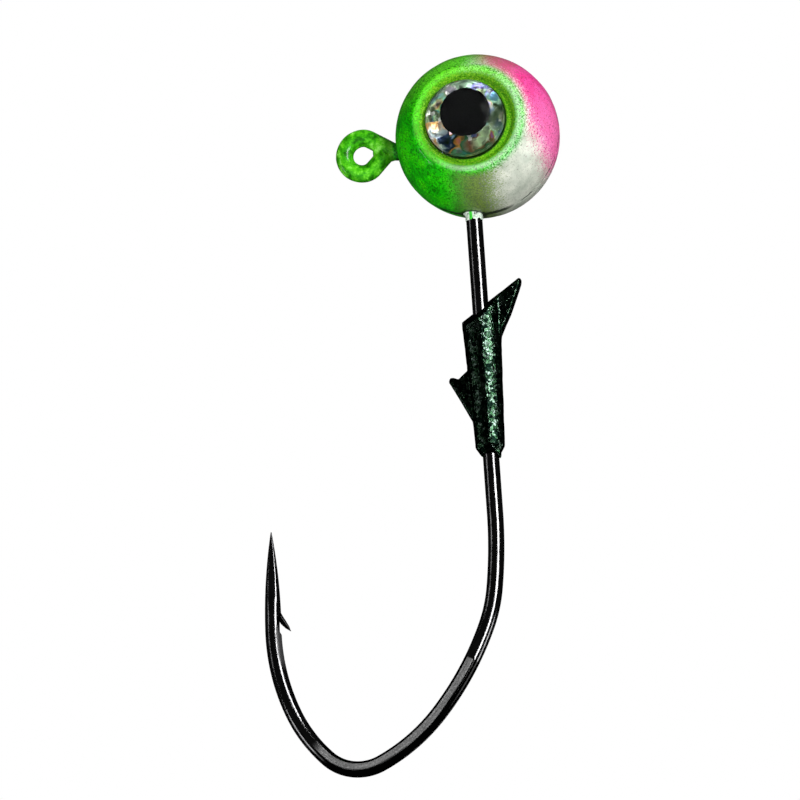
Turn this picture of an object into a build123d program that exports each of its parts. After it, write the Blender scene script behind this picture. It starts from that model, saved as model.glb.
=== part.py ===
from build123d import *
import math
import os

# Ball jig head: a lead ball cast round the bent end of a single-wire hook, painted,
# with a glued 3-D eye on each side and a bait keeper moulded on the shank.
# Millimetres. The origin is the centre of the line-tie hole, +Z points up the shank,
# +X runs from the line tie to the back of the ball, and the eyes look along -Y and +Y.

# ---------------------------------------------------------------- driving dimensions
WIRE_D = 1.05
WIRE_R = WIRE_D / 2

LOOP_R = 1.2             # line-tie loop, to the middle of the wire
LOOP_TURN_R = 0.9        # tighter turns where the loop leads into its two legs
LEG_SLOPE = 34           # degrees, the leg that rises from the stem to the loop
TAG_SLOPE = 45           # degrees, the cut end that closes the loop from below
TAG_LENGTH = 1.0
STEM_BEND_R = 0.8        # where the sloping leg levels out into the stem
LINE_HOLE_R = 0.65       # the eye is cleared of paint with a round pin of this radius

SHANK_X = 6.9            # shank axis, from the line tie
HEAD_BEND_R = 1.6        # the right-angle bend hidden in the ball
SHANK_BOTTOM_Z = -24.9   # the shank is straight down to here
# radius and turn in degrees of each stretch of the bend, from the shank to the spear
BEND_ARCS = ((34, 8.5), (10, 14.5), (20, 18.5), (11.5, 24.5), (3, 71), (10, 22), (14.5, 23.5))
SPEAR_LENGTH = 0.25      # straight wire between the bend and the ground point
POINT_LENGTH = 6.2
POINT_TIP_R = 0.03
BARB_LENGTH = 1.3
BARB_LIFT = 0.62         # how far the barb's tip stands off the wire
BARB_WIDTH = 0.5
BARB_ROOT_U = 0.72       # the barb's root, from the base of the point towards its tip

FORGE_START = 0.625      # the bend is pressed flat between these fractions of the hook line
FORGE_END = 0.857
FORGE_HALF = 0.456       # half the thickness left between the two flats

HEAD_R = 5.3             # painted ball
PAINT_T = 0.05
HEAD_X = 7.5             # centre of the ball
HEAD_Z = 0.4
CORE_R = HEAD_R - PAINT_T

SOCKET_RIM_R = 3.1       # eye socket, measured on the paint
SOCKET_FLOOR_R = 2.85
SOCKET_FLOOR = 3.45      # floor plane, from the centre of the ball
SOCKET_DRAFT_TOP = 5.6   # the socket's wall is carried out past the ball to cut it
LIP_R = 0.5              # rounding of the socket's rim

EYE_SHIFT_X = -0.17      # each eye is pressed against the front of its socket
EYE_SHIFT_Z = 0.05
ADHESIVE_R = 2.3
ADHESIVE_T = 0.1
FOIL_R = 2.51
FOIL_T = 0.1
PUPIL_R = 1.54
PUPIL_T = 0.04
PUPIL_SHIFT_X = 0.05     # the pupil is printed above and behind the middle of the foil
PUPIL_SHIFT_Z = 0.37
DOME_R = 2.56
DOME_EDGE = 0.3          # upright edge of the clear dome
DOME_HEIGHT = 1.2

LOOP_PAINT_T = 0.035     # paint on the wire
PAINTED_WIRE_R = WIRE_R + LOOP_PAINT_T
WEB_R = 0.45             # paint that fills the corner between the loop's two legs
WEB_X = 1.0
WEB_Z = 0.12
WEB_HALF = 0.3
SLEEVE_END_Z = -5.3      # the paint runs a little way down the shank

KEEPER_TOP_R = 1.28
KEEPER_TOP_Z = -12.0
KEEPER_FOOT_R = 0.95
KEEPER_FOOT_Z = -20.5
KEEPER_TAIL_R = 0.64
KEEPER_TAIL_Z = -21.05
KEEPER_SLANT = 33.5      # degrees, the slanted top
KEEPER_SLANT_Z = -11.12  # where the slanted top crosses the shank's axis
KEEPER_ROOF = 35         # degrees that the slanted top falls away to each side
KEEPER_RIDGE = 0.06      # the roof's ridge stands this far above the slant
KEEPER_TRIM = 6.0        # size of the block that trims the top
FIN_HALF = 0.45          # half the thickness of the spike and the barb
FIN_DRAFT = 12           # degrees
SPIKE_OUTLINE = (
    (2.62, -9.4), (2.72, -9.44), (2.8, -9.6), (2.79, -9.8), (2.39, -10.78), (1.98, -11.76),
    (1.59, -12.5), (1.3, -13.1), (1.2, -13.6), (0, -13.6),
)
KEEPER_BARB_OUTLINE = (
    (-0.4, -19.9), (-0.93, -18.9), (-2.4, -15.85), (-2.26, -15.62), (-1.99, -15.62),
    (-1.72, -15.75), (-1.2, -15.3), (-0.4, -15.3),
)

HEAD_CENTRE = Vector(HEAD_X, 0, HEAD_Z)
SIDES = {"left": -1, "right": 1}

os.makedirs("parts", exist_ok=True)


def write_part(piece, label):
    """Label a finished piece and write its STEP file."""
    piece.part.label = label
    export_step(piece.part, f"parts/{label}.step")


def in_hook_plane(point):
    """A point of the hook's plane as a pair for a sketch on Plane.XZ."""
    return (point.X, point.Z)


# ---------------------------------------------------------------- hook
# One wire: tag end, loop, sloping leg, stem, hidden bend, shank, bend, spear, point.
slope = math.radians(LEG_SLOPE)
turn_drop = (LOOP_TURN_R + STEM_BEND_R) * (1 - math.cos(slope))
leg_length = (LOOP_R - turn_drop) / math.sin(slope)
stem_x = (LOOP_TURN_R + STEM_BEND_R) * math.sin(slope) + leg_length * math.cos(slope)
STEM_START = (stem_x + 1.0, 0)

with BuildLine(Plane.XZ) as loop_line:
    stem = Line(STEM_START, (stem_x, 0))
    stem_bend = JernArc(stem @ 1, stem % 1, STEM_BEND_R, -LEG_SLOPE)
    leg = PolarLine(stem_bend @ 1, leg_length, direction=stem_bend % 1)
    upper_turn = JernArc(leg @ 1, leg % 1, LOOP_TURN_R, LEG_SLOPE)
    loop_arc = JernArc(upper_turn @ 1, upper_turn % 1, LOOP_R, 180)
    lower_turn = JernArc(loop_arc @ 1, loop_arc % 1, LOOP_TURN_R, TAG_SLOPE)
    tag = PolarLine(lower_turn @ 1, TAG_LENGTH, direction=lower_turn % 1)

with BuildLine(Plane.XZ) as hook_line:
    run = Line(STEM_START, (SHANK_X - HEAD_BEND_R, 0))
    head_bend = JernArc(run @ 1, run % 1, HEAD_BEND_R, -90)
    stretch = Line(head_bend @ 1, (SHANK_X, SHANK_BOTTOM_Z))
    for bend_radius, bend_turn in BEND_ARCS:
        stretch = JernArc(stretch @ 1, stretch % 1, bend_radius, -bend_turn)
    spear = PolarLine(stretch @ 1, SPEAR_LENGTH, direction=stretch % 1)

hook_wire = hook_line.wires()[0]
stem_plane = Plane(origin=(stem_x + 1.0, 0, 0), z_dir=(1, 0, 0))
point_axis = Axis(origin=spear @ 1, direction=spear % 1)
# local x runs up the point, local y points in, towards the shank
point_plane = Plane(origin=spear @ 1, x_dir=spear % 1, z_dir=(0, 1, 0))

with BuildPart() as hook:
    with BuildSketch(stem_plane):
        Circle(WIRE_R)
    sweep(path=loop_line.wires()[0])
    with BuildSketch(stem_plane):
        Circle(WIRE_R)
    sweep(path=hook_wire)

    # needle point
    with BuildSketch(point_plane):
        with BuildLine():
            Line((0, 0), (POINT_LENGTH, 0))
            Line((POINT_LENGTH, 0), (POINT_LENGTH, POINT_TIP_R))
            TangentArc((0, WIRE_R), (POINT_LENGTH, POINT_TIP_R), tangent=(1, 0))
            Line((0, WIRE_R), (0, 0))
        make_face()
    revolve(axis=point_axis)

    # barb, raised from the inner side of the point
    barb_tip = (BARB_ROOT_U - BARB_LENGTH, WIRE_R + BARB_LIFT)
    with BuildSketch(point_plane):
        with BuildLine():
            Polyline(
                (BARB_ROOT_U, WIRE_R * 0.4),
                (BARB_ROOT_U + 0.1, WIRE_R * 0.9),
                (BARB_ROOT_U - BARB_LENGTH / 2, WIRE_R + BARB_LIFT * 0.55),
                barb_tip,
                (BARB_ROOT_U - BARB_LENGTH / 2, WIRE_R + BARB_LIFT * 0.2),
                (BARB_ROOT_U - BARB_LENGTH / 3, WIRE_R * 0.4),
                close=True,
            )
        make_face()
    extrude(amount=BARB_WIDTH / 2, both=True)

    # pressed flats on both sides of the bend
    flat_start = hook_wire @ FORGE_START
    flat_end = hook_wire @ FORGE_END
    across_start = (hook_wire % FORGE_START).cross(Vector(0, 1, 0)) * WIRE_D
    across_end = (hook_wire % FORGE_END).cross(Vector(0, 1, 0)) * WIRE_D
    below_bend = SHANK_BOTTOM_Z * 2
    for side in SIDES.values():
        with BuildSketch(Plane.XZ.offset(-side * FORGE_HALF)):
            with BuildLine():
                Polyline(
                    in_hook_plane(flat_start - across_start),
                    in_hook_plane(flat_start + across_start),
                    (flat_start.X + WIRE_D, below_bend),
                    (flat_end.X - WIRE_D, below_bend),
                    in_hook_plane(flat_end + across_end),
                    in_hook_plane(flat_end - across_end),
                    close=True,
                )
            make_face()
        extrude(amount=-side * WIRE_D, mode=Mode.SUBTRACT)

write_part(hook, "hook")


# ---------------------------------------------------------------- ball and paint
def cut_sockets(grow, lip):
    """Cut an eye socket into each side of the ball, grown by the paint's thickness if asked."""
    for side in SIDES.values():
        # local x is the radius and local y runs out along the eye's axis
        half_plane = Plane(origin=HEAD_CENTRE, x_dir=(1, 0, 0), z_dir=(0, 0, side))
        draft = (SOCKET_RIM_R - SOCKET_FLOOR_R) / (socket_rim_plane - SOCKET_FLOOR)
        outer_r = SOCKET_FLOOR_R + draft * (SOCKET_DRAFT_TOP - SOCKET_FLOOR)
        with BuildSketch(half_plane) as socket_half:
            with BuildLine():
                Polyline(
                    (0, SOCKET_FLOOR - grow),
                    (SOCKET_FLOOR_R + grow, SOCKET_FLOOR - grow),
                    (outer_r + grow, SOCKET_DRAFT_TOP),
                    (0, SOCKET_DRAFT_TOP),
                    close=True,
                )
            make_face()
        revolve(socket_half.sketch, axis=Axis(HEAD_CENTRE, (0, side, 0)), mode=Mode.SUBTRACT)
    rims = edges().filter_by(GeomType.CIRCLE).filter_by(
        lambda edge: abs(abs(edge.center().Y) - socket_rim_plane) < LIP_R
    )
    fillet(rims, radius=lip)


socket_rim_plane = math.sqrt(HEAD_R**2 - SOCKET_RIM_R**2)

with BuildPart() as head_core:
    with Locations(HEAD_CENTRE):
        Sphere(CORE_R)
    cut_sockets(grow=PAINT_T, lip=LIP_R - PAINT_T)
    add(hook.part, mode=Mode.SUBTRACT)

write_part(head_core, "head_core")

with BuildPart() as paint_coat:
    with Locations(HEAD_CENTRE):
        Sphere(HEAD_R)
    cut_sockets(grow=0, lip=LIP_R)

    # paint on the loop, its legs and the stem
    with BuildSketch(stem_plane):
        Circle(PAINTED_WIRE_R)
    sweep(path=loop_line.wires()[0])
    with BuildSketch(Plane.XZ):
        with Locations((WEB_X, WEB_Z)):
            Circle(WEB_R)
    extrude(amount=WEB_HALF, both=True)
    with BuildSketch(Plane.XZ):
        Circle(LINE_HOLE_R)
    extrude(amount=WIRE_D, both=True, mode=Mode.SUBTRACT)

    # paint that has run down the shank
    with BuildSketch(Plane.XY.offset(SLEEVE_END_Z)):
        with Locations((SHANK_X, 0)):
            Circle(PAINTED_WIRE_R)
    extrude(amount=HEAD_Z - SLEEVE_END_Z)

    add(head_core.part, mode=Mode.SUBTRACT)
    add(hook.part, mode=Mode.SUBTRACT)

write_part(paint_coat, "paint_coat")


# ---------------------------------------------------------------- bait keeper
keeper_plane = Plane(origin=(SHANK_X, 0, 0), x_dir=(1, 0, 0), z_dir=(0, -1, 0))
slant_rise = math.tan(math.radians(KEEPER_SLANT))
along_slant = (1, 0, slant_rise)


def slant_at(x):
    """Height of the keeper's slanted top at a distance from the shank's axis."""
    return KEEPER_SLANT_Z + x * slant_rise


def roof_normal(side):
    """Direction square to one side of the keeper's roof."""
    lean = math.radians(KEEPER_SLANT)
    fall = math.radians(KEEPER_ROOF)
    return (-math.sin(lean) * math.cos(fall), side * math.sin(fall), math.cos(lean) * math.cos(fall))


with BuildPart() as bait_keeper:
    with BuildSketch(keeper_plane):
        with BuildLine():
            Polyline(
                (0, slant_at(KEEPER_TOP_R)),
                (KEEPER_TOP_R, slant_at(KEEPER_TOP_R)),
                (KEEPER_TOP_R, KEEPER_TOP_Z),
                (KEEPER_FOOT_R, KEEPER_FOOT_Z),
                (KEEPER_TAIL_R, KEEPER_TAIL_Z),
                (0, KEEPER_TAIL_Z),
                close=True,
            )
        make_face()
    revolve(axis=Axis((SHANK_X, 0, 0), (0, 0, 1)))

    # the spike at the top back and the barb at the lower front
    with BuildSketch(keeper_plane):
        with BuildLine():
            Polyline(*SPIKE_OUTLINE, (0, slant_at(0)), close=True)
        make_face()
        with BuildLine():
            Polyline(*KEEPER_BARB_OUTLINE, close=True)
        make_face()
    extrude(amount=FIN_HALF, both=True, taper=FIN_DRAFT)

    # everything above the slanted top is trimmed away
    with BuildSketch(keeper_plane):
        with BuildLine():
            Polyline(
                (-KEEPER_TRIM, slant_at(-KEEPER_TRIM)),
                (KEEPER_TRIM, slant_at(KEEPER_TRIM)),
                (-KEEPER_TRIM, slant_at(KEEPER_TRIM)),
                close=True,
            )
        make_face()
    extrude(amount=KEEPER_TRIM, both=True, mode=Mode.SUBTRACT)

    # the top falls away to both sides of its ridge
    ridge_point = (SHANK_X, 0, KEEPER_SLANT_Z + KEEPER_RIDGE)
    for side in SIDES.values():
        with BuildSketch(Plane(origin=ridge_point, x_dir=along_slant, z_dir=roof_normal(side))):
            Rectangle(2 * KEEPER_TRIM, 2 * KEEPER_TRIM)
        extrude(amount=KEEPER_TRIM, mode=Mode.SUBTRACT)
    add(hook.part, mode=Mode.SUBTRACT)

write_part(bait_keeper, "bait_keeper")


# ---------------------------------------------------------------- eyes
def build_eye(side_name, side):
    """The four pieces of one glued eye, stacked outwards from the floor of its socket."""
    eye_centre = HEAD_CENTRE + Vector(EYE_SHIFT_X, 0, EYE_SHIFT_Z)
    eye_axis = Axis(eye_centre, (0, side, 0))
    floor_plane = Plane(origin=eye_centre, x_dir=(1, 0, 0), z_dir=(0, side, 0))
    foil_base = SOCKET_FLOOR + ADHESIVE_T
    dome_base = foil_base + FOIL_T
    pupil_base = dome_base - PUPIL_T

    with BuildPart() as adhesive:
        with BuildSketch(floor_plane.offset(SOCKET_FLOOR)):
            Circle(ADHESIVE_R)
        extrude(amount=ADHESIVE_T)
    write_part(adhesive, f"eye_adhesive_{side_name}")

    with BuildPart() as pupil:
        with BuildSketch(floor_plane.offset(pupil_base)):
            with Locations((PUPIL_SHIFT_X, -side * PUPIL_SHIFT_Z)):
                Circle(PUPIL_R)
        extrude(amount=PUPIL_T)
    write_part(pupil, f"eye_pupil_{side_name}")

    with BuildPart() as foil:
        with BuildSketch(floor_plane.offset(foil_base)):
            Circle(FOIL_R)
        extrude(amount=FOIL_T)
        add(pupil.part, mode=Mode.SUBTRACT)
    write_part(foil, f"eye_foil_{side_name}")

    with BuildPart() as dome:
        half_plane = Plane(origin=eye_centre, x_dir=(1, 0, 0), z_dir=(0, 0, side))
        with BuildSketch(half_plane):
            with BuildLine():
                Line((0, dome_base + DOME_HEIGHT), (0, dome_base))
                Line((0, dome_base), (DOME_R, dome_base))
                Line((DOME_R, dome_base), (DOME_R, dome_base + DOME_EDGE))
                TangentArc(
                    (0, dome_base + DOME_HEIGHT),
                    (DOME_R, dome_base + DOME_EDGE),
                    tangent=(1, 0),
                )
            make_face()
        revolve(axis=eye_axis)
    write_part(dome, f"eye_dome_{side_name}")


for eye_name, eye_side in SIDES.items():
    build_eye(eye_name, eye_side)
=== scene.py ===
import math

import bmesh
import bpy
import numpy as np
from mathutils import Matrix, Vector, noise


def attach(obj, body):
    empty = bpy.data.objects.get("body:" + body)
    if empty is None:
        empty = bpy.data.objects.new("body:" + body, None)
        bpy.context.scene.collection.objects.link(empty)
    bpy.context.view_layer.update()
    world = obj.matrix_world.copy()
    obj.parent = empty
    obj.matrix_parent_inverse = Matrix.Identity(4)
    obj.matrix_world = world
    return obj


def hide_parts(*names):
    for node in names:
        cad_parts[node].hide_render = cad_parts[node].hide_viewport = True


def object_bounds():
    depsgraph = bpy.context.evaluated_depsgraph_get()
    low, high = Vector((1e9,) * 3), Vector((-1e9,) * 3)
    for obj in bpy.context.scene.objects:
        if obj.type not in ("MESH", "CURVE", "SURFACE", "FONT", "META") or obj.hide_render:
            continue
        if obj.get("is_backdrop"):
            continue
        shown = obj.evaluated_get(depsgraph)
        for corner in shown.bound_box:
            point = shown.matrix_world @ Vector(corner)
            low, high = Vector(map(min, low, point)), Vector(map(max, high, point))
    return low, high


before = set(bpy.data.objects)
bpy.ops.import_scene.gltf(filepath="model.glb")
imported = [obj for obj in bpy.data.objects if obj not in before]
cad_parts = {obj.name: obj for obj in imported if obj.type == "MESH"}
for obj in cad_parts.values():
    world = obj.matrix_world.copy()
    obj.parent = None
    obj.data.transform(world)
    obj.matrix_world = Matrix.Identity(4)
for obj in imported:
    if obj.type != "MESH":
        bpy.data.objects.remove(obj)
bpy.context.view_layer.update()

# Looks for the ball jig head. Shapes are built in millimetres in the row frame and scaled to metres.
MM = 0.001

# ---------------------------------------------------------------- sizes shared with the CAD source
WIRE_R = 0.525
LOOP_R = 1.2
LOOP_TURN_R = 0.9
LEG_SLOPE = 34
TAG_SLOPE = 45
TAG_LENGTH = 1.2
STEM_BEND_R = 0.8
SHANK_X = 6.9
HEAD_BEND_R = 1.6
SHANK_BOTTOM_Z = -24.9
BEND_ARCS = ((34, 8.5), (10, 14.5), (20, 18.5), (11.5, 24.5), (3, 71), (10, 22), (14.5, 23.5))
SPEAR_LENGTH = 0.25
POINT_LENGTH = 6.2
POINT_TIP_R = 0.03
FORGE_START = 0.625
FORGE_END = 0.857
FORGE_HALF = 0.456

HEAD = Vector((7.5, 0, 0.4))
CAD_HEAD_R = 5.3
# a little under the CAD ball, so that the ripple in the paint stays inside it
HEAD_R = 5.285
SOCKET_RIM_R = 3.1
SOCKET_FLOOR_R = 2.85
SOCKET_FLOOR = 3.45
LIP_R = 0.5
EYE_SHIFT = Vector((-0.17, 0, 0.05))
FOIL_BASE = 3.55
DOME_BASE = 3.65
FOIL_R = 2.51
PUPIL_R = 1.54
PUPIL_SHIFT = Vector((0.05, 0, 0.37))
DOME_R = 2.56
DOME_EDGE = 0.3
DOME_HEIGHT = 1.2
PAINTED_R = 0.56
KEEPER_TAIL_Z = -21.05


# ---------------------------------------------------------------- mesh helpers
def mesh_object(name, points, faces, uvs=None, smooth=True):
    """A mesh object from points in millimetres; uvs holds one (u, v) pair per point."""
    mesh = bpy.data.meshes.new(name)
    mesh.from_pydata([tuple(p) for p in np.asarray(points, float) * MM], [], faces)
    mesh.validate()
    if uvs is not None:
        layer = mesh.uv_layers.new(name="along")
        corner = np.empty(len(mesh.loops), np.int32)
        mesh.loops.foreach_get("vertex_index", corner)
        layer.data.foreach_set("uv", np.asarray(uvs, np.float32)[corner].ravel())
    mesh.polygons.foreach_set("use_smooth", [smooth] * len(mesh.polygons))
    mesh.update()
    piece = bpy.data.objects.new(name, mesh)
    bpy.context.scene.collection.objects.link(piece)
    return piece


def tube_faces(rings, sides, offset=0, caps=True):
    """Quads that join rings of points, with a fan-free cap polygon at each end."""
    faces = []
    for i in range(rings - 1):
        for j in range(sides):
            k = (j + 1) % sides
            low = offset + i * sides
            faces.append((low + j, low + k, low + sides + k, low + sides + j))
    if caps:
        faces.append(tuple(offset + j for j in reversed(range(sides))))
        last = offset + (rings - 1) * sides
        faces.append(tuple(last + j for j in range(sides)))
    return faces


def trace(x, z, heading, moves, step=0.12):
    """Sample a path of straight runs and arcs in the hook's plane.

    A move is (None, length) or (radius, turn in degrees). Returns rows of
    x, z, heading in radians and distance travelled."""
    heading = math.radians(heading)
    rows = [(x, z, heading, 0.0)]
    travelled = 0.0
    for radius, amount in moves:
        if radius is None:
            count = max(1, round(amount / step))
            for _ in range(count):
                x += math.cos(heading) * amount / count
                z += math.sin(heading) * amount / count
                travelled += amount / count
                rows.append((x, z, heading, travelled))
            continue
        turn = math.radians(amount)
        side = math.copysign(1, turn)
        centre_x = x - math.sin(heading) * radius * side
        centre_z = z + math.cos(heading) * radius * side
        count = max(2, math.ceil(abs(turn) * radius / step), math.ceil(abs(amount) / 3))
        start = heading
        for i in range(1, count + 1):
            heading = start + turn * i / count
            x = centre_x + math.sin(heading) * radius * side
            z = centre_z - math.cos(heading) * radius * side
            travelled += abs(turn) * radius / count
            rows.append((x, z, heading, travelled))
    return np.array(rows)


def even_angles(sides):
    """Angles round a section, one per side."""
    return np.linspace(0, 2 * math.pi, sides, endpoint=False)


def sweep(path, section, angles):
    """Rings of points along a traced path. section(distance, angles) gives the in-plane and Y offsets."""
    points = []
    uvs = []
    for x, z, heading, travelled in path:
        inward, across = section(travelled, angles)
        normal = (-math.sin(heading), math.cos(heading))
        for a, b, angle in zip(inward, across, angles):
            points.append((x + normal[0] * a, b, z + normal[1] * a))
            uvs.append((angle * WIRE_R, travelled))
    return points, uvs


def smoothstep(low, high, value):
    """0 below low, 1 above high, smooth between."""
    t = np.clip((value - low) / (high - low), 0, 1)
    return t * t * (3 - 2 * t)


def ripple(point, scale, seed=0.0):
    """Soft deterministic noise, about -1 to 1."""
    return noise.noise(Vector(point) * scale + Vector((seed, seed * 0.37, -seed)))


def remeshed(name, sources, voxel, smoothing):
    """One closed skin round the source objects, built at a thousand times life size."""
    points = []
    faces = []
    for source in sources:
        base = len(points)
        points += [tuple(v.co) for v in source.data.vertices]
        faces += [tuple(base + i for i in p.vertices) for p in source.data.polygons]
        bpy.data.objects.remove(source)
    blank = bpy.data.meshes.new(name + "_blank")
    blank.from_pydata([tuple(Vector(p) / MM) for p in points], [], faces)
    holder = bpy.data.objects.new(name + "_blank", blank)
    bpy.context.scene.collection.objects.link(holder)
    skin = holder.modifiers.new("skin", "REMESH")
    skin.mode = "VOXEL"
    skin.voxel_size = voxel
    relax = holder.modifiers.new("relax", "SMOOTH")
    relax.factor = 0.5
    relax.iterations = smoothing
    graph = bpy.context.evaluated_depsgraph_get()
    mesh = bpy.data.meshes.new_from_object(holder.evaluated_get(graph))
    bpy.data.objects.remove(holder)
    mesh.name = name
    piece = bpy.data.objects.new(name, mesh)
    bpy.context.scene.collection.objects.link(piece)
    return piece


def settle(piece):
    """Millimetres to metres, smooth shading."""
    piece.data.transform(Matrix.Scale(MM, 4))
    piece.data.polygons.foreach_set("use_smooth", [True] * len(piece.data.polygons))
    piece.data.update()
    return piece


# ---------------------------------------------------------------- hook
slope = math.radians(LEG_SLOPE)
turn_drop = (LOOP_TURN_R + STEM_BEND_R) * (1 - math.cos(slope))
leg_length = (LOOP_R - turn_drop) / math.sin(slope)
stem_x = (LOOP_TURN_R + STEM_BEND_R) * math.sin(slope) + leg_length * math.cos(slope)
stem_start = stem_x + 1.0
LOOP_MOVES = (
    (None, 1.0), (STEM_BEND_R, -LEG_SLOPE), (None, leg_length), (LOOP_TURN_R, LEG_SLOPE),
    (LOOP_R, 180), (LOOP_TURN_R, TAG_SLOPE), (None, TAG_LENGTH),
)
SHANK_LENGTH = -SHANK_BOTTOM_Z - HEAD_BEND_R
HOOK_MOVES = (
    (None, SHANK_X - HEAD_BEND_R - stem_start), (HEAD_BEND_R, -90), (None, SHANK_LENGTH),
    *((radius, -turn) for radius, turn in BEND_ARCS), (None, SPEAR_LENGTH), (None, POINT_LENGTH),
)
hook_path = trace(stem_start, 0, 0, HOOK_MOVES, step=0.1)
point_start = hook_path[-1, 3] - POINT_LENGTH
forge_low = FORGE_START * point_start
forge_high = FORGE_END * point_start
point_arc_r = (POINT_LENGTH**2 + (WIRE_R - POINT_TIP_R) ** 2) / (2 * (WIRE_R - POINT_TIP_R))
# ground faces of the point: direction from the inner side towards an eye's side, and depth
POINT_FACES = ((84, 0.84), (-84, 0.84))


def hook_section(travelled, angles):
    """The wire's section: round, pressed flat round the bend, ground to a point."""
    u = travelled - point_start
    radius = WIRE_R
    if u > 0:
        radius -= point_arc_r - math.sqrt(point_arc_r**2 - u**2)
    reach = np.full_like(angles, radius)
    ground = smoothstep(0.2, 3.4, u)
    for direction, depth in POINT_FACES:
        wander = 0.05 * ripple((u * 2.1, direction, 0), 1.0) + 0.035 * ripple((u * 7.0, direction, 0), 1.0)
        gap = np.cos(angles - math.pi - math.radians(direction))
        face = radius * (depth + wander) / np.maximum(gap, 0.2)
        reach = np.where(gap > 0.2, np.minimum(reach, reach * (1 - ground) + face * ground), reach)
    inward = reach * np.cos(angles)
    across = reach * np.sin(angles)
    # the flats, with a crisp start and a slow run-out
    pressed = smoothstep(forge_low - 0.06, forge_low + 0.06, travelled)
    pressed *= 1 - smoothstep(forge_high - 1.6, forge_high, travelled)
    limit = WIRE_R - (WIRE_R - FORGE_HALF) * pressed
    across = np.clip(across, -limit, limit)
    # the scoop that the barb was raised from, on the side that faces the shank
    scoop = 0.17 * smoothstep(-0.75, -0.35, u) * (1 - smoothstep(0.35, 0.75, u))
    inward = np.maximum(inward, -(WIRE_R - scoop))
    return inward, across


def round_section(radius):
    """A plain round wire's section."""
    return lambda travelled, angles: (radius * np.cos(angles), radius * np.sin(angles))


# even steps round the wire, with a close pair at each edge of the pressed flats
flat_edge = math.asin(FORGE_HALF / WIRE_R)
EDGE_GAP = math.radians(0.8)
wire_angles = set(even_angles(56))
for edge in (flat_edge, math.pi - flat_edge, math.pi + flat_edge, 2 * math.pi - flat_edge):
    wire_angles -= {a for a in wire_angles if abs(a - edge) < 2.5 * EDGE_GAP}
    wire_angles |= {edge - EDGE_GAP, edge + EDGE_GAP}
wire_angles = np.array(sorted(wire_angles))
SIDES = len(wire_angles)
points, uvs = sweep(hook_path, hook_section, wire_angles)
faces = tube_faces(len(hook_path), SIDES)

loop_path = trace(stem_start, 0, 180, LOOP_MOVES, step=0.1)
loop_points, loop_uvs = sweep(loop_path, round_section(WIRE_R), wire_angles)
faces += tube_faces(len(loop_path), SIDES, offset=len(points))
points += loop_points
uvs += loop_uvs

# barb: a sliver raised from the point's inner side, thin and slightly curled
tip_row = hook_path[np.searchsorted(hook_path[:, 3], point_start)]
point_dir = np.array((math.cos(tip_row[2]), math.sin(tip_row[2])))
point_in = np.array((math.sin(tip_row[2]), -math.cos(tip_row[2])))
point_base = np.array((tip_row[0], tip_row[1]))
BARB_LINE = ((1.05, 0.33), (0.78, 0.40), (0.44, 0.54), (0.12, 0.73), (-0.2, 0.95), (-0.5, 1.14))
BARB_THICK = (0.10, 0.20, 0.25, 0.24, 0.17, 0.016)
BARB_WIDE = (0.10, 0.26, 0.30, 0.25, 0.16, 0.014)
line = np.array(BARB_LINE)
fine = np.linspace(0, 1, 26)
coarse = np.linspace(0, 1, len(line))
curve_u = np.interp(fine, coarse, line[:, 0])
curve_v = np.interp(fine, coarse, line[:, 1])
thick = np.interp(fine, coarse, BARB_THICK)
wide = np.interp(fine, coarse, BARB_WIDE)
BARB_SIDES = 20
# the barb's skin is told from the wire's by a distance along the wire that the wire never reaches
BARB_ALONG = 1000
ring = even_angles(BARB_SIDES)
base = len(points)
for i in range(len(fine)):
    j = min(i + 1, len(fine) - 1)
    k = max(i - 1, 0)
    along = np.array((curve_u[j] - curve_u[k], curve_v[j] - curve_v[k]))
    along /= np.linalg.norm(along)
    out = np.array((along[1], -along[0]))
    for angle in ring:
        lift = math.sin(angle) * thick[i] * (1.0 if math.sin(angle) < 0 else 0.55)
        u = curve_u[i] + out[0] * lift
        v = curve_v[i] + out[1] * lift
        spot = point_base + point_dir * u + point_in * v
        points.append((spot[0], math.cos(angle) * wide[i], spot[1]))
        uvs.append((angle * WIRE_R, BARB_ALONG + u))
faces += tube_faces(len(fine), BARB_SIDES, offset=base)
hook = mesh_object("hook_wire", points, faces, uvs)


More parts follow.
